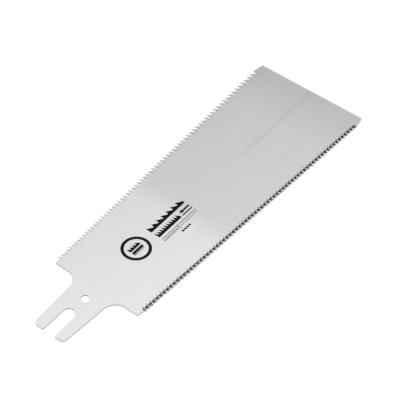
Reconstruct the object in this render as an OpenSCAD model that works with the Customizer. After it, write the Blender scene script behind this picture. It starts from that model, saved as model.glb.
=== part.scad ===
// Double-edged pull saw blade with a forked tang, as slipped into a quick-change handle.
// Origin at the centre of the tang hole, half way through the plate. +X runs to the toe,
// +Y to the rip teeth and -Y to the crosscut teeth. The print is on the +Z face.

/* [Plate] */
// Length from the heel line to the toe edge
blade_len = 258; // [200:1:320]
// Thickness of the steel
plate_t = 0.5; // [0.35:0.05:0.9]
// Width across the two heel corners
heel_w = 76.4; // [64:0.2:92]
// Width across the two toe corners
toe_w = 96.8; // [84:0.2:118]
// Radius that takes the sharpness off the toe corners
toe_corner_r = 1.4; // [0.5:0.1:3]
// Radius that takes the sharpness off the heel corners
heel_corner_r = 0.5; // [0.2:0.1:2]

/* [Tooth lines] */
// Length of the plain edge between the heel corner and the first rip tooth
rip_heel_flat = 5.9; // [3:0.1:12]
// Length of the plain edge between the last rip tooth and the toe corner
rip_toe_flat = 9.9; // [6:0.1:20]
// How far the rip tips stand out from the heel corner at the heel end
rip_heel_rise = 2.3; // [1.6:0.1:4]
// How far the rip tips stand out from the toe corner at the toe end
rip_toe_rise = 1.9; // [1.6:0.1:4]
// Length of the plain edge between the heel corner and the first crosscut tooth
cross_heel_flat = 6.2; // [3:0.1:12]
// Length of the plain edge between the last crosscut tooth and the toe corner
cross_toe_flat = 9.6; // [6:0.1:20]
// How far the crosscut points stand out from the heel corner at the heel end
cross_heel_rise = 2.3; // [1.6:0.1:4]
// How far the crosscut points stand out from the toe corner at the toe end
cross_toe_rise = 2.3; // [1.6:0.1:4]
// How far the plain edges at the heel have risen from their corners where the teeth start
heel_flat_rise = 1.2; // [0.8:0.1:1.5]
// How far the plain edges at the toe have risen from their corners where the teeth end
toe_flat_rise = 1.5; // [0.8:0.1:1.5]

/* [Rip teeth] */
// Number of rip teeth
rip_count = 68; // [40:1:90]
// Last pitch over first pitch: the teeth grow towards the toe
rip_growth = 1.5; // [1:0.05:1.8]
// Tooth depth from tip to gullet at the heel end
rip_depth = 3.3; // [2:0.1:4]
// Tooth depth from tip to gullet at the toe end
rip_toe_depth = 4.7; // [2:0.1:5.5]
// Forward hook of the cutting face, towards the handle
rip_hook = 7; // [0:1:12]
// Width of the land at each tip
rip_land = 0.15; // [0.05:0.05:0.4]
// Width of the bottom of each gullet
rip_gullet_w = 0.3; // [0.06:0.02:0.6]
// Plan width of the bevel on each flank
rip_bevel = 0; // [0:0.02:0.3]
// Sideways set of each tip, to alternate sides
rip_set = 0.14; // [0:0.02:0.3]
// Length of the ramp from the heel's plain edge down to the first rip gullet
rip_ramp = 1.7; // [0.2:0.1:2.5]
// How far the grinding wheel's mark runs into the plate beyond each gullet
rip_mark = 0.3; // [0.1:0.1:1.4]

/* [Crosscut teeth] */
// Number of crosscut teeth
cross_count = 135; // [90:1:165]
// Tooth depth from tip to gullet
cross_depth = 3.3; // [1.8:0.1:4]
// Backward lean of the cutting face, from the handle
cross_lean = 8; // [0:1:14]
// Width of the short third facet across each point
cross_land = 0.6; // [0.1:0.05:0.7]
// Width of the bottom of each gullet
cross_gullet_w = 0.1; // [0.06:0.02:0.3]
// Plan width of the bevel on each flank
cross_bevel = 0.48; // [0:0.02:0.5]
// Sideways set of each point, to alternate sides
cross_set = 0.16; // [0:0.02:0.3]
// How far the grinding wheel's mark runs into the plate beyond each gullet
cross_mark = 1.6; // [0.2:0.1:2.2]

/* [Tang] */
// Length of the tang from the heel line to the prong ends
tang_len = 50.2; // [44:0.2:70]
// Width across the prong ends
tang_tip_w = 27.6; // [25:0.2:34]
// Width the tang would have at the heel line without its fillets
tang_root_w = 33.2; // [28:0.2:38]
// Radius of the fillets between the tang and the heel line
heel_fillet_r = 10.5; // [5:0.5:12]
// Radius of the prongs' outer corners
prong_outer_r = 3.6; // [1:0.1:4.5]
// Radius of the prongs' inner corners
prong_inner_r = 1.2; // [0.4:0.1:2]
// Width of the slot between the prongs, and the diameter of its round end
slot_w = 10; // [6:0.2:12]
// Distance from the heel line to the round end of the slot
slot_end = 23.9; // [20:0.1:30]
// Angle by which the slot opens out on the crosscut side
slot_flare = 2; // [0:0.5:3]

/* [Tang hole] */
// Diameter of the hole for the handle's pin
hole_d = 6.6; // [3:0.1:8]
// Distance from the heel line to the hole's centre
hole_from_heel = 11.6; // [9:0.1:14]

/* [Print] */
// Thickness of the printed ink
ink_t = 0.03; // [0.02:0.01:0.08]
// Distance from the heel line to the centre of the round emblem
emblem_x = 46.6; // [30:0.2:80]
// Outer diameter of the emblem's ring
emblem_d = 23; // [14:0.5:28]
// Width of the emblem's ring
emblem_ring = 2.5; // [1:0.1:3]
// Distance of the print's middle line from the blade's, towards the rip teeth
print_y = 2.2; // [-6:0.2:6]
// Distance from the heel line to the start of the tooth chart
chart_x = 65.2; // [60:0.2:110]
// Length of the tooth chart
chart_len = 38.4; // [24:0.2:60]
// Height of each bar of the tooth chart
chart_h = 5.4; // [3:0.1:7]
// Number of coarse teeth on the chart's upper bar
coarse_teeth = 7; // [4:1:10]
// Number of fine teeth on the chart's lower bar
fine_teeth = 10; // [6:1:16]
// Centre distance of the chart's two bars
chart_gap = 7.5; // [7.5:0.1:10]
// Thickness of the thin ruled line under the chart
rule_t = 0.5; // [0.3:0.05:1]

/* [Hidden] */
ARC_STEP = 3;          // degrees between the points of a rounded corner
BAND = 2.4;            // solid strip that each tooth row keeps below its gullets, longer than any mark
BITE = 0.8;            // overlap that joins a tooth row to the plate
MARK_DEPTH = 0.37;     // depth of a grinding mark at its gullet, as a share of the plate's thickness
MARK_LEAN = 8;         // how far a grinding mark leans towards the toe, in degrees
MARK_SHORT = 0.1;      // share of its length that a mark has behind a tooth that isn't bevelled
CUT = 1;               // how far a cutter reaches past the faces it cuts
BAR_BACK = 0.46;       // height of a printed bar below its teeth, as a share of the whole
TOOTH_RUN = 0.8;       // length of a printed tooth's slope, as a share of its pitch
EMBLEM_BLADE = [1.24, 0.46]; // length and half width of the emblem's blade, in inner radii of its ring
EMBLEM_TEETH = [4, 7]; // number of coarse and of fine teeth on the emblem's blade
EMBLEM_SPLIT = 1;      // gap between the two halves of the emblem's blade
FINE_SHARE = 0.67;     // length of the chart's lower bar, as a share of the upper one
ARROW_START = 0.71;    // where the arrow starts, as a share of the chart's length
ARROW_HEAD = 0.66;     // height of the arrow's head, as a share of a bar's height
ARROW_SHAFT = 1.5;     // thickness of the arrow's shaft
DASH = 0.2;            // thickness of the dash under the arrow, as a share of a bar's height
RULE_DROP = 2.9;       // distance from the chart down to the ruled line
DIVIDER_START = 0.44;  // where the divider stands, as a share of the chart's length
DIVIDER_DROP = 1;      // how far the divider reaches below the tick marks
TICK = [0.7, 1.7];     // width and height of a tick mark
TICK_STEP = 1.5;       // distance from one tick mark to the next
TICK_DROP = 1;         // gap between the ruled line and the tick marks
SQUARE = 1.8;          // side of the small squares
SQUARE_STEP = 2.5;     // distance from one small square to the next
SQUARE_DROP = 4.4;     // distance from the foot of the tick marks down to the foot of the squares
SQUARES = 4;           // number of small squares
steel = [0.80, 0.81, 0.82];
ink = [0.08, 0.08, 0.09];

// Each tip line, from its heel end to its toe end, and the gullet depths at those ends
rip_line = [
    [rip_heel_flat, heel_w / 2 + rip_heel_rise],
    [blade_len - rip_toe_flat, toe_w / 2 + rip_toe_rise]
];
cross_line = [
    [cross_heel_flat, heel_w / 2 + cross_heel_rise],
    [blade_len - cross_toe_flat, toe_w / 2 + cross_toe_rise]
];
mark_depth = plate_t * MARK_DEPTH;
cut_h = plate_t + 2 * CUT;
rip_depths = [rip_depth, rip_toe_depth];
cross_depths = [cross_depth, cross_depth];
slot_r = slot_w / 2;
slot_cx = -slot_end - slot_r;
slot_flare_y = slot_r + (tang_len + slot_cx) * tan(slot_flare);
chart_low = -(chart_gap + chart_h) / 2;

function line_len(line) = norm(line[1] - line[0]);

// A point given along a tip line and outwards from it, in the heel-line frame
function line_point(line, u, w) =
    let (along = (line[1] - line[0]) / line_len(line))
    line[0] + u * along + w * [-along.y, along.x];

function flipped(points) = [for (i = [len(points) - 1:-1:0]) [points[i].x, -points[i].y]];

// The rounded form of corner b, between its neighbours a and c, for an outline
function rounded(a, b, c, r) =
    let (
        ab = (a - b) / norm(a - b),
        cb = (c - b) / norm(c - b),
        half = acos(ab * cb) / 2,
        middle = (ab + cb) / norm(ab + cb),
        centre = b + middle * r / sin(half),
        from = b + ab * r / tan(half) - centre,
        to = b + cb * r / tan(half) - centre,
        start = atan2(from.y, from.x),
        sweep = atan2(from.x * to.y - from.y * to.x, from * to),
        steps = ceil(abs(sweep) / ARC_STEP)
    )
    [for (i = [0:steps]) centre + r * [cos(start + sweep * i / steps), sin(start + sweep * i / steps)]];

// One long edge of the plate from the heel line to the toe, with the room that its teeth take
function plate_edge(line, depths, ramp) =
    let (
        heel = [0, heel_w / 2],
        toe = [blade_len, toe_w / 2],
        heel_inner = [line[0].x - ramp, heel.y + heel_flat_rise],
        toe_inner = [line[1].x, toe.y + toe_flat_rise],
        first_gullet = line_point(line, 0, -depths[0]),
        down = (first_gullet - heel_inner) / norm(first_gullet - heel_inner)
    )
    concat(
        rounded([0, 0], heel, heel_inner, heel_corner_r),
        [
            heel_inner,
            first_gullet + BITE * down,
            line_point(line, 0, -depths[0] - BAND),
            line_point(line, line_len(line), -depths[1] - BAND),
            toe_inner
        ],
        rounded(toe_inner, toe, [blade_len, 0], toe_corner_r)
    );

// One side of the tang, from its inner prong corner round to the heel line
function tang_edge(slot_y) =
    let (
        end = -tang_len,
        inner = [end, slot_y],
        outer = [end, tang_tip_w / 2],
        root = [0, tang_root_w / 2]
    )
    concat(
        [[slot_cx, slot_r]],
        rounded([slot_cx, slot_r], inner, outer, prong_inner_r),
        rounded(inner, outer, root, prong_outer_r),
        rounded(outer, root, [0, heel_w / 2], heel_fillet_r)
    );

// Place along a row, as a share of its length, where tooth i begins
function tooth_start(i, count, growth) =
    (i + (growth - 1) * i * (i - 1) / (2 * (count - 1))) / (count * (1 + growth) / 2);

// How far the gullets lie below the tip line at a share of its length, from the depths at its ends
function depth_at(share, depths) = depths[0] + (depths[1] - depths[0]) * share;

// The side that tooth i is bent to, when the first tooth of its row is bent to side first
function bent_side(i, first) = i % 2 == 0 ? first : -first;

// The four corners of tooth i on one face (side 1 is the top, -1 the bottom): left foot, front and
// back of the land, right foot. The face that the tooth is bent away from is the one bevelled.
function tooth_points(i, side, first, length, count, growth, depths, lean, gullet_w, land, bevel, set) =
    let (
        bend = bent_side(i, first),
        inset = side == bend ? 0 : bevel,
        start = length * tooth_start(i, count, growth) + gullet_w / 2,
        end = length * tooth_start(i + 1, count, growth) - gullet_w / 2,
        depth = depth_at(start / length, depths),
        share = (end - start - 2 * inset) / (end - start),
        front = start + inset + depth * tan(lean) * share,
        tip_w = -depth * (1 - share),
        z = side * plate_t / 2,
        tip_z = z + bend * set * share
    )
    [
        [start + inset, -depth_at((start + inset) / length, depths), z],
        [front, tip_w, tip_z],
        [front + land * share, tip_w, tip_z],
        [end - inset, -depth_at((end - inset) / length, depths), z]
    ];

// A row of teeth on its strip, along +X with the tips on the X axis. first is the side of the first
// tooth's set.
module tooth_row(first, length, count, growth, depths, lean, gullet_w, land, bevel, set, mark) {
    back_w = BAND + BITE;
    function gullet(i) = length * tooth_start(i, count, growth);
    function gullet_depth(i) = depth_at(gullet(i) / length, depths);
    function corners(i, side) =
        tooth_points(i, side, first, length, count, growth, depths, lean, gullet_w, land, bevel, set);
    // The middle of gullet i on one face, sunk by the grinding mark, and the point where the mark ends.
    // The wheel runs on farther behind the bevelled tooth.
    function gullet_middle(i, side) =
        let (between = (corners(i - 1, side)[3] + corners(i, side)[0]) / 2)
        [between.x, between.y, side * (plate_t / 2 - mark_depth)];
    function mark_end(i, side) =
        let (
            middle = gullet_middle(i, side),
            run = side == bent_side(i - 1, first) ? mark * MARK_SHORT : mark,
            back = [gullet(i) + back_w * tan(MARK_LEAN), -gullet_depth(i) - back_w],
            tip = [middle.x, middle.y] + (back - [middle.x, middle.y]) * run / back_w
        )
        [tip.x, tip.y, side * plate_t / 2];

    face_points = [
        for (side = [1, -1])
        concat(
            [
                for (i = [0:count])
                [
                    i == 0 ? -BITE : i == count ? length + BITE : gullet(i) + back_w * tan(MARK_LEAN),
                    -gullet_depth(i) - back_w,
                    side * plate_t / 2
                ]
            ],
            [for (i = [0:count - 1]) each corners(i, side)],
            [[-BITE, -depths[0], side * plate_t / 2], [length + BITE, -depths[1], side * plate_t / 2]],
            [for (i = [1:count - 1]) each [gullet_middle(i, side), mark_end(i, side)]]
        )
    ];
    face_size = len(face_points[0]);

    // Point numbers on face f, 0 for the top and 1 for the bottom
    function back_line(f, i) = f * face_size + i;
    function corner(f, i, k) = f * face_size + count + 1 + 4 * i + k;
    function row_end(f, k) = f * face_size + count + 1 + 4 * count + k;
    function left_foot(f, i) = i == count ? row_end(f, 1) : corner(f, i, 0);
    function right_foot(f, i) = i < 0 ? row_end(f, 0) : corner(f, i, 3);
    function middle(f, i) = row_end(f, 2) + 2 * (i - 1);
    function mark_tip(f, i) = middle(f, i) + 1;
    function top(face) = face;
    function bottom(face) = [for (k = [len(face) - 1:-1:0]) face[k]];
    function both(f, face) = f == 0 ? top(face) : bottom(face);
    function wall(from0, to0, from1, to1) = [[to0, from0, from1], [to0, from1, to1]];

    flats = [
        for (f = [0, 1])
        for (i = [0:count])
        each concat(
            i == 0 || i == count ? [both(f, [right_foot(f, i - 1), left_foot(f, i), back_line(f, i)])] : [
                both(f, [right_foot(f, i - 1), middle(f, i), mark_tip(f, i)]),
                both(f, [middle(f, i), left_foot(f, i), mark_tip(f, i)]),
                both(f, [left_foot(f, i), back_line(f, i), mark_tip(f, i)]),
                both(f, [back_line(f, i), right_foot(f, i - 1), mark_tip(f, i)])
            ],
            i == count ? [] : [
                both(f, [corner(f, i, 0), corner(f, i, 3), back_line(f, i + 1)]),
                both(f, [corner(f, i, 0), back_line(f, i + 1), back_line(f, i)]),
                both(f, [corner(f, i, 1), corner(f, i, 2), corner(f, i, 3)]),
                both(f, [corner(f, i, 1), corner(f, i, 3), corner(f, i, 0)])
            ]
        )
    ];
    walls = concat(
        [
            for (i = [0:count])
            each i == 0 || i == count
                ? wall(right_foot(0, i - 1), left_foot(0, i), right_foot(1, i - 1), left_foot(1, i))
                : concat(
                    wall(right_foot(0, i - 1), middle(0, i), right_foot(1, i - 1), middle(1, i)),
                    wall(middle(0, i), left_foot(0, i), middle(1, i), left_foot(1, i))
                )
        ],
        [
            for (i = [0:count - 1])
            for (k = [0:2])
            each wall(corner(0, i, k), corner(0, i, k + 1), corner(1, i, k), corner(1, i, k + 1))
        ],
        [
            for (i = [0:count - 1])
            each wall(back_line(0, i + 1), back_line(0, i), back_line(1, i + 1), back_line(1, i))
        ],
        wall(back_line(0, 0), row_end(0, 0), back_line(1, 0), row_end(1, 0)),
        wall(row_end(0, 1), back_line(0, count), row_end(1, 1), back_line(1, count))
    );
    polyhedron(points = concat(face_points[0], face_points[1]), faces = concat(flats, walls));
}

// Puts a row that starts at the origin and runs along +X onto its tip line
module along(line) {
    run = line[1] - line[0];
    translate(line[0]) rotate([0, 0, atan2(run.y, run.x)]) children();
}

// Everything is drawn from the heel line and then moved, so that the hole's centre is the origin
module from_hole() {
    translate([hole_from_heel, 0, 0]) children();
}

module plate() {
    outline = concat(
        tang_edge(slot_r),
        plate_edge(rip_line, rip_depths, rip_ramp),
        flipped(plate_edge(cross_line, cross_depths, 0)),
        flipped(tang_edge(slot_flare_y))
    );
    translate([0, 0, -plate_t / 2]) linear_extrude(plate_t) polygon(outline);
}

module blade() {
    color(steel)
    from_hole()
    difference() {
        union() {
            plate();
            along(rip_line) tooth_row(
                1, line_len(rip_line), rip_count, rip_growth, rip_depths, -rip_hook,
                rip_gullet_w, rip_land, rip_bevel, rip_set, rip_mark
            );
            mirror([0, 1, 0]) along(cross_line) tooth_row(
                -1, line_len(cross_line), cross_count, 1, cross_depths, cross_lean,
                cross_gullet_w, cross_land, cross_bevel, cross_set, cross_mark
            );
        }
        translate([-hole_from_heel, 0, 0]) cylinder(d = hole_d, h = cut_h, center = true, $fn = 96);
        translate([slot_cx, 0, 0]) cylinder(r = slot_r, h = cut_h, center = true, $fn = 96);
    }
}

// Ink lies on the +Z face
module inked() {
    color(ink) from_hole() translate([0, print_y, plate_t / 2]) linear_extrude(ink_t) children();
}

// A bar with saw teeth along its upper edge, its lower left corner at the origin
module toothed_bar(length, height, count) {
    pitch = length / count;
    back = height * BAR_BACK;
    polygon(concat(
        [[0, 0]],
        [
            for (i = [0:count - 1])
            each [[i * pitch, height], [(i + TOOTH_RUN) * pitch, back], [(i + 1) * pitch, back]]
        ],
        [[length, 0]]
    ));
}

// An arrow that points to the left, its lower left corner at the origin
module arrow(length, height) {
    polygon([
        [0, height / 2],
        [height, height],
        [height, (height + ARROW_SHAFT) / 2],
        [length, (height + ARROW_SHAFT) / 2],
        [length, (height - ARROW_SHAFT) / 2],
        [height, (height - ARROW_SHAFT) / 2],
        [height, 0]
    ]);
}

// A ring round a small double-edged blade
module printed_emblem() {
    inner_r = emblem_d / 2 - emblem_ring;
    small_len = inner_r * EMBLEM_BLADE[0];
    small_h = inner_r * EMBLEM_BLADE[1];
    inked() translate([emblem_x, 0]) {
        difference() {
            circle(d = emblem_d, $fn = 96);
            circle(r = inner_r, $fn = 96);
        }
        for (side = [0, 1]) {
            mirror([0, side]) translate([-small_len / 2, EMBLEM_SPLIT / 2])
            toothed_bar(small_len, small_h, EMBLEM_TEETH[side]);
        }
    }
}

// Two bars that show the coarse and the fine teeth, and the arrow for the pull stroke over a dash
module printed_tooth_chart() {
    arrow_x = chart_len * ARROW_START;
    arrow_len = chart_len - arrow_x;
    arrow_h = chart_h * ARROW_HEAD;
    inked() translate([chart_x, 0]) {
        translate([0, chart_low + chart_gap]) toothed_bar(chart_len, chart_h, coarse_teeth);
        translate([0, chart_low]) toothed_bar(chart_len * FINE_SHARE, chart_h, fine_teeth);
        translate([arrow_x, chart_low + chart_h - arrow_h]) arrow(arrow_len, arrow_h);
        translate([arrow_x, chart_low]) square([arrow_len, chart_h * DASH]);
    }
}

// A thin ruled line over two runs of tick marks with a divider in between, and four small squares
module printed_rule() {
    line_y = chart_low - RULE_DROP;
    ticks_y = line_y - TICK_DROP - TICK[1];
    divider_x = chart_len * DIVIDER_START;
    divider_y = ticks_y - DIVIDER_DROP;
    inked() translate([chart_x, 0]) {
        translate([0, line_y]) square([chart_len, rule_t]);
        translate([divider_x, divider_y]) square([rule_t, line_y + rule_t - divider_y]);
        for (x = [0:TICK_STEP:divider_x - TICK_STEP]) {
            translate([x, ticks_y]) square(TICK);
        }
        for (x = [divider_x + TICK_STEP:TICK_STEP:chart_len - TICK[0]]) {
            translate([x, ticks_y + TICK[1] / 4]) square([TICK[0], TICK[1] / 2]);
        }
        for (i = [0:SQUARES - 1]) {
            translate([divider_x - SQUARE + i * SQUARE_STEP, ticks_y - SQUARE_DROP]) square(SQUARE);
        }
    }
}

blade();
printed_emblem();
printed_tooth_chart();
printed_rule();
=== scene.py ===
import math

import bmesh
import bpy
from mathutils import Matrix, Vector


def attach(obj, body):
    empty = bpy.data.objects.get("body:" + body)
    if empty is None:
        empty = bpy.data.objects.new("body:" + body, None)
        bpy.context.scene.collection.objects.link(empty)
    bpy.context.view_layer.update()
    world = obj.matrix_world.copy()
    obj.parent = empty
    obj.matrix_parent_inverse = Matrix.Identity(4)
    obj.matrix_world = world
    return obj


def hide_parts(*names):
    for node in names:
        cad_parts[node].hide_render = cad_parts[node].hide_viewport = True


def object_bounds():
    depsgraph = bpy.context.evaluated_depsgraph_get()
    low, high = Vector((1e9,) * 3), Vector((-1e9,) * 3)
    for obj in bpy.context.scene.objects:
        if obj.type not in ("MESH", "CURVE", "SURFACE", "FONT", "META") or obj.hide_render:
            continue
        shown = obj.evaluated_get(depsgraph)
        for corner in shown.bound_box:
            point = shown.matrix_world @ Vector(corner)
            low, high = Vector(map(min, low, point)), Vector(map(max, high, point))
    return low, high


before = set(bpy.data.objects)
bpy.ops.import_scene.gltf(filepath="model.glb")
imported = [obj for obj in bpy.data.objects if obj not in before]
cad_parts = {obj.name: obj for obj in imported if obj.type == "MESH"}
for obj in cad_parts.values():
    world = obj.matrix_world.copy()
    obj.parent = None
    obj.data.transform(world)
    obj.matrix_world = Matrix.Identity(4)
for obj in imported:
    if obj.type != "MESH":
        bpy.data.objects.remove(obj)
cad_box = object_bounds()

# ---------------------------------------------------------------------------------------------
# Camera. A long lens above the tang end looks along the blade to the toe. The aim point is on
# the plate, and the distance is what gives the slight narrowing towards the toe.
# ---------------------------------------------------------------------------------------------
MM = 0.001              # one millimetre in metres
VIEW_AZIMUTH = math.radians(51.29)  # heading of the view, clockwise from +Y
VIEW_ELEVATION = math.radians(47.48)  # how far above the table the camera stands
VIEW_DISTANCE = 1232.7 * MM
AIM = Vector((124.05, -4.06, 0.25)) * MM
SENSOR_WIDTH = 36.0     # this and the lens are in millimetres, as the camera takes them
LENS = 149.64
NEAR_CLIP = 50.0 * MM

forward = Vector((
    math.sin(VIEW_AZIMUTH) * math.cos(VIEW_ELEVATION),
    math.cos(VIEW_AZIMUTH) * math.cos(VIEW_ELEVATION),
    -math.sin(VIEW_ELEVATION),
))
camera = bpy.data.objects.new("camera", bpy.data.cameras.new("camera"))
bpy.context.scene.collection.objects.link(camera)
camera.location = AIM - forward * VIEW_DISTANCE
camera.rotation_euler = forward.to_track_quat("-Z", "Y").to_euler()
camera.data.sensor_width = SENSOR_WIDTH
camera.data.lens = LENS
camera.data.clip_start = NEAR_CLIP
bpy.context.scene.camera = camera
bpy.context.scene.view_settings.view_transform = "Standard"


# ---------------------------------------------------------------------------------------------
# Floor and light tent. A white light table under a tent that is brightest high up and falls off
# to a grey horizon, so flat steel shows one long, soft gradient and no hard highlight.
# ---------------------------------------------------------------------------------------------
def linear(hex_colour):
    """An sRGB hex colour as the linear RGBA that shaders take."""
    channels = [int(hex_colour[i:i + 2], 16) / 255 for i in (1, 3, 5)]
    return tuple(c / 12.92 if c <= 0.04045 else ((c + 0.055) / 1.055) ** 2.4 for c in channels) + (1.0,)


def add_node(tree, kind, settings, inputs):
    """Adds a node with its settings. An input is a value, or a link given as (node, output)."""
    node = tree.nodes.new(kind)
    for name, value in settings.items():
        setattr(node, name, value)
    for name, value in inputs.items():
        if isinstance(value, tuple) and isinstance(value[0], bpy.types.Node):
            tree.links.new(value[0].outputs[value[1]], node.inputs[name])
        else:
            node.inputs[name].default_value = value
    return node


def new_material(name):
    """An empty material and its node tree."""
    material = bpy.data.materials.new(name)
    material.use_nodes = True
    material.node_tree.nodes.clear()
    return material, material.node_tree


TENT_STRENGTH = 2.4
# Height of a direction in the tent (0 at the horizon, 1 overhead) and its share of the strength
TENT_STOPS = (
    (0.0, 0.08), (0.50, 0.24), (0.66, 0.37), (0.74, 0.44), (0.80, 0.52), (0.88, 0.56), (1.0, 0.42),
)

world = bpy.data.worlds.new("light_tent")
bpy.context.scene.world = world
world.use_nodes = True
tent = world.node_tree
tent.nodes.clear()
direction = add_node(tent, "ShaderNodeTexCoord", {}, {})
height = add_node(tent, "ShaderNodeSeparateXYZ", {}, {"Vector": (direction, "Generated")})
falloff = add_node(tent, "ShaderNodeValToRGB", {}, {"Fac": (height, "Z")})
stops = falloff.color_ramp.elements
stops.remove(stops[1])
for level, share in TENT_STOPS:
    stop = stops[0] if level == 0.0 else stops.new(level)
    stop.color = (share, share, share, 1.0)
tent_light = add_node(
    tent, "ShaderNodeBackground", {}, {"Color": (falloff, "Color"), "Strength": TENT_STRENGTH}
)
add_node(tent, "ShaderNodeOutputWorld", {}, {"Surface": (tent_light, "Background")})

TABLE_REACH = 4.0       # how far the table runs out from the origin each way, in metres
TABLE_CORNERS = ((-1, -1), (1, -1), (1, 1), (-1, 1))
TABLE_LIGHT = 0.22      # strength of the glow from below
floor_z = cad_box[0][2]
floor_mesh = bpy.data.meshes.new("floor")
floor_corners = [(x * TABLE_REACH, y * TABLE_REACH, floor_z) for x, y in TABLE_CORNERS]
floor_mesh.from_pydata(floor_corners, [], [(0, 1, 2, 3)])
floor = bpy.data.objects.new("floor", floor_mesh)
bpy.context.scene.collection.objects.link(floor)
# Opal acrylic lit from below, which keeps the ground white and the shadows faint
opal_acrylic, tree = new_material("opal_acrylic")
opal_shader = add_node(
    tree, "ShaderNodeBsdfPrincipled", {},
    {
        "Base Color": linear("#f6f6f6"), "Roughness": 0.9, "Specular IOR Level": 0.1,
        "Emission Color": linear("#ffffff"), "Emission Strength": TABLE_LIGHT,
    },
)
add_node(tree, "ShaderNodeOutputMaterial", {}, {"Surface": (opal_shader, "BSDF")})
floor_mesh.materials.append(opal_acrylic)

# ---------------------------------------------------------------------------------------------
# Blade. One plate of cold-rolled spring steel, stamped to its outline, ground and polished on
# both faces. The teeth are ground last, and a short electric pulse hardens the crosscut points.
# ---------------------------------------------------------------------------------------------
# The line of the crosscut points from heel to toe, and how far in from it the heat went
POINTS_HEEL = Vector((17.8, 40.5)) * MM
POINTS_TOE = Vector((260.0, 50.7)) * MM
HEAT_START = 3.2 * MM
HEAT_FULL = 2.6 * MM
points_slope = (POINTS_TOE.y - POINTS_HEEL.y) / (POINTS_TOE.x - POINTS_HEEL.x)
points_height = POINTS_HEEL.y - points_slope * POINTS_HEEL.x

# Spring steel with a fine polish reflects the tent softly. Painted light makes the heel third
# brightest, painted shade darkens the toe and the rip side, and faint streaks run along the blade
# as the belt left them, with one painted dark line of shade along the middle of the toe half.
STEEL_PAINTED_BRIGHT_HEEL = "#d9d9d9"
STEEL_PAINTED_MIDDLE = "#cbcbcb"
STEEL_PAINTED_DARK_TOE = "#bfbfbf"
HARDENED = "#3c3c3d"    # oxide grey that the hardening pulse leaves
HEEL_LIGHT_FULL = 92.0 * MM     # the painted light on the heel is whole up to here
HEEL_LIGHT_GONE = 120.0 * MM
TOE_SHADE_START = 216.0 * MM
TOE_SHADE_FULL = 272.0 * MM
MIDLINE_SHADE_HALF = 4.5 * MM  # half the width of the painted line of shade along the blade's middle
MIDLINE_SHADE_START = 166.0 * MM
MIDLINE_SHADE_FULL = 205.0 * MM
MIDLINE_SHADE_DEPTH = -0.07     # what the painted shade adds to the tone at its middle
RIP_SIDE_PAINTED_SHADE = -0.6        # painted shade: change of tone for each metre towards the rip teeth
STEEL_ROUGHNESS = 0.18
# Each belt mark: its length and width, then what it adds to the tone and to the roughness. The
# finest scratches are really 0.05 mm apart, and are drawn coarser so that they show.
BELT_MARKS = (
    (160.0 * MM, 7.0 * MM, 0.07, 0.06),
    (30.0 * MM, 22.0 * MM, 0.04, 0.0),
    (45.0 * MM, 1.1 * MM, 0.02, 0.05),
)

plate_steel, tree = new_material("polished_steel_with_painted_light")
place = add_node(tree, "ShaderNodeTexCoord", {}, {})
axes = add_node(tree, "ShaderNodeSeparateXYZ", {}, {"Vector": (place, "Object")})
# Masks for the painted light on the heel and the painted shade towards the toe
heel_light_mask = add_node(
    tree, "ShaderNodeMapRange", {"interpolation_type": "SMOOTHSTEP"},
    {"Value": (axes, "X"), "From Min": HEEL_LIGHT_FULL, "From Max": HEEL_LIGHT_GONE, "To Min": 1.0, "To Max": 0.0},
)
toe_shade_mask = add_node(
    tree, "ShaderNodeMapRange", {"interpolation_type": "SMOOTHSTEP"},
    {"Value": (axes, "X"), "From Min": TOE_SHADE_START, "From Max": TOE_SHADE_FULL},
)
# In a colour Mix node, input 0 is the factor, inputs 6 and 7 are the colours and output 2 is the result
heel_lit_steel = add_node(
    tree, "ShaderNodeMix", {"data_type": "RGBA"},
    {0: (heel_light_mask, "Result"), 6: linear(STEEL_PAINTED_MIDDLE), 7: linear(STEEL_PAINTED_BRIGHT_HEEL)},
)
toe_shaded_steel = add_node(
    tree, "ShaderNodeMix", {"data_type": "RGBA"},
    {0: (toe_shade_mask, "Result"), 6: (heel_lit_steel, 2), 7: linear(STEEL_PAINTED_DARK_TOE)},
)
base_tone = 1.0 - sum(mark_tone for _length, _width, mark_tone, _roughness in BELT_MARKS) / 2
# Painted shade across the blade, darker towards the rip teeth
tone = add_node(
    tree, "ShaderNodeMath", {"operation": "MULTIPLY_ADD"}, {0: (axes, "Y"), 1: RIP_SIDE_PAINTED_SHADE, 2: base_tone}
)
# The painted shade is darkest on the blade's middle line, and dies out towards the handle
off_middle = add_node(tree, "ShaderNodeMath", {"operation": "ABSOLUTE"}, {0: (axes, "Y")})
midline_shade = add_node(
    tree, "ShaderNodeMapRange", {"interpolation_type": "SMOOTHSTEP"},
    {"Value": (off_middle, "Value"), "From Max": MIDLINE_SHADE_HALF, "To Min": MIDLINE_SHADE_DEPTH, "To Max": 0.0},
)
run_in = add_node(
    tree, "ShaderNodeMapRange", {"interpolation_type": "SMOOTHSTEP"},
    {"Value": (axes, "X"), "From Min": MIDLINE_SHADE_START, "From Max": MIDLINE_SHADE_FULL},
)
tone = add_node(
    tree, "ShaderNodeMath", {"operation": "MULTIPLY_ADD"},
    {0: (midline_shade, "Result"), 1: (run_in, "Result"), 2: (tone, "Value")},
)
roughness = STEEL_ROUGHNESS
for length, width, mark_tone, mark_roughness in BELT_MARKS:
    stretch = add_node(
        tree, "ShaderNodeMapping", {},
        {"Vector": (place, "Object"), "Scale": (1 / length, 1 / width, 1 / width)},
    )
    mark = add_node(tree, "ShaderNodeTexNoise", {}, {"Vector": (stretch, "Vector"), "Scale": 1.0})
    tone = add_node(
        tree, "ShaderNodeMath", {"operation": "MULTIPLY_ADD"},
        {0: (mark, "Fac"), 1: mark_tone, 2: (tone, "Value")},
    )
    rougher = add_node(
        tree, "ShaderNodeMath", {"operation": "MULTIPLY_ADD"},
        {0: (mark, "Fac"), 1: mark_roughness, 2: roughness},
    )
    roughness = (rougher, "Value")
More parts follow.
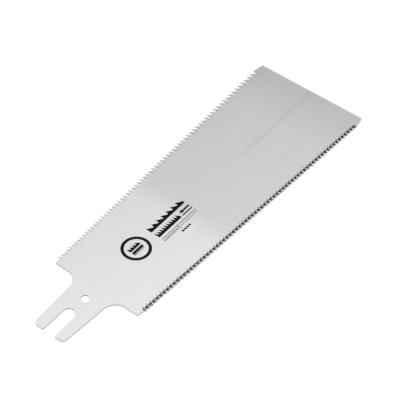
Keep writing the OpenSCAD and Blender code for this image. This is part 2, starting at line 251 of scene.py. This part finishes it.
toned = add_node(
    tree, "ShaderNodeVectorMath", {"operation": "SCALE"}, {"Vector": (toe_shaded_steel, 2), "Scale": (tone, "Value")}
)
point_line = add_node(
    tree, "ShaderNodeMath", {"operation": "MULTIPLY_ADD"}, {0: (axes, "X"), 1: points_slope, 2: points_height}
)
inset = add_node(tree, "ShaderNodeMath", {"operation": "ADD"}, {0: (point_line, "Value"), 1: (axes, "Y")})
heat = add_node(
    tree, "ShaderNodeMapRange", {"interpolation_type": "SMOOTHSTEP"},
    {"Value": (inset, "Value"), "From Min": HEAT_FULL, "From Max": HEAT_START, "To Min": 1.0, "To Max": 0.0},
)
# 1 along the row of crosscut teeth, and 0 along the plain edges before and after it
in_row = add_node(
    tree, "ShaderNodeMath", {"operation": "COMPARE"},
    {0: (axes, "X"), 1: (POINTS_HEEL.x + POINTS_TOE.x) / 2, 2: (POINTS_TOE.x - POINTS_HEEL.x) / 2},
)
hardened = add_node(
    tree, "ShaderNodeMath", {"operation": "MULTIPLY"}, {0: (heat, "Result"), 1: (in_row, "Value")}
)
colour = add_node(
    tree, "ShaderNodeMix", {"data_type": "RGBA"},
    {0: (hardened, "Value"), 6: (toned, "Vector"), 7: linear(HARDENED)},
)
steel_shader = add_node(
    tree, "ShaderNodeBsdfPrincipled", {}, {"Base Color": (colour, 2), "Metallic": 1.0, "Roughness": roughness}
)
add_node(tree, "ShaderNodeOutputMaterial", {}, {"Surface": (steel_shader, "BSDF")})

GRIT = 0.8 * MM         # size of the uneven patches that a coarse cutter leaves
GRIT_TONE = 0.3         # how much darker or lighter than the mean they are


def bare_steel(name, hex_colour, roughness):
    """Steel as a cutter left it, a little uneven in tone."""
    material, tree = new_material(name)
    place = add_node(tree, "ShaderNodeTexCoord", {}, {})
    patches = add_node(tree, "ShaderNodeTexNoise", {}, {"Vector": (place, "Object"), "Scale": 1 / GRIT})
    mean = Vector(linear(hex_colour)[:3])
    colour = add_node(
        tree, "ShaderNodeMix", {"data_type": "RGBA"},
        {0: (patches, "Fac"), 6: (*mean * (1 - GRIT_TONE), 1.0), 7: (*mean * (1 + GRIT_TONE), 1.0)},
    )
    shader = add_node(
        tree, "ShaderNodeBsdfPrincipled", {},
        {"Base Color": (colour, 2), "Metallic": 1.0, "Roughness": roughness},
    )
    add_node(tree, "ShaderNodeOutputMaterial", {}, {"Surface": (shader, "BSDF")})
    return material


# The stamped edge is rough and dull, and its colour is painted near black as shade, so it reads as a thin
# dark outline
edge_painted_shade = bare_steel("sheared_edge_painted_shade", "#222223", 0.5)
# Flanks and bevels of the rip teeth as the wheel left them: bare and satin
rip_flank = bare_steel("ground_rip_flank", "#8c8c8d", 0.4)
# Flanks and bevels of the crosscut teeth, darkened by the hardening pulse
cross_flank = bare_steel("hardened_cross_flank", "#1b1b1c", 0.45)
BLADE_FINISHES = (plate_steel, edge_painted_shade, rip_flank, cross_flank)

MERGE = 0.0005 * MM                 # corners closer together than this become one
FLAT_WITHIN = math.radians(0.05)    # facets that meet at less than this become one face
BENT_WITHIN = math.radians(4.0)     # the faces of set teeth lean no more than this from the plate's
TOOTH_ZONE = 5.2 * MM               # how far in from the points the teeth and the wheel's marks reach


def finish_of(face):
    """The number of a face's finish, from its slope and from whether it belongs to a row of teeth."""
    if abs(face.normal.z) > math.cos(BENT_WITHIN):
        return BLADE_FINISHES.index(plate_steel)
    middle = face.calc_center_median()
    inset = points_height + points_slope * middle.x - abs(middle.y)
    if POINTS_HEEL.x < middle.x < POINTS_TOE.x and inset < TOOTH_ZONE:
        return BLADE_FINISHES.index(rip_flank if middle.y > 0 else cross_flank)
    return BLADE_FINISHES.index(edge_painted_shade)


cad_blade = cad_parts["blade"]
plate = bmesh.new()
plate.from_mesh(cad_blade.data)
bmesh.ops.remove_doubles(plate, verts=plate.verts, dist=MERGE)
bmesh.ops.dissolve_limit(plate, angle_limit=FLAT_WITHIN, verts=plate.verts, edges=plate.edges)
for face in plate.faces:
    face.material_index = finish_of(face)
    face.smooth = False
blade_mesh = bpy.data.meshes.new("saw_blade")
plate.to_mesh(blade_mesh)
plate.free()
for finish in BLADE_FINISHES:
    blade_mesh.materials.append(finish)
blade = bpy.data.objects.new("saw_blade", blade_mesh)
bpy.context.scene.collection.objects.link(blade)
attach(blade, "root")
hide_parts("blade")

# ---------------------------------------------------------------------------------------------
# Print. Black screen-printed ink, laid in one pass on the upper face: a round emblem, a chart of
# the two kinds of teeth, and a ruled line over tick marks.
# ---------------------------------------------------------------------------------------------
SCREEN_MESH = 0.9 * MM      # size of the mottle, coarser than the real screen so that it shows

# Thick matt ink, dense black with a faint mottle where the screen's mesh let less through
ink, tree = new_material("matt_screen_ink")
place = add_node(tree, "ShaderNodeTexCoord", {}, {})
mottle = add_node(tree, "ShaderNodeTexNoise", {}, {"Vector": (place, "Object"), "Scale": 1 / SCREEN_MESH})
ink_colour = add_node(
    tree, "ShaderNodeMix", {"data_type": "RGBA"},
    {0: (mottle, "Fac"), 6: linear("#050505"), 7: linear("#101010")},
)
ink_shader = add_node(
    tree, "ShaderNodeBsdfPrincipled", {},
    {"Base Color": (ink_colour, 2), "Roughness": 0.6, "Specular IOR Level": 0.12},
)
add_node(tree, "ShaderNodeOutputMaterial", {}, {"Surface": (ink_shader, "BSDF")})
for name in ("printed_emblem", "printed_tooth_chart", "printed_rule"):
    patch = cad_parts[name]
    patch.data.materials.clear()
    patch.data.materials.append(ink)
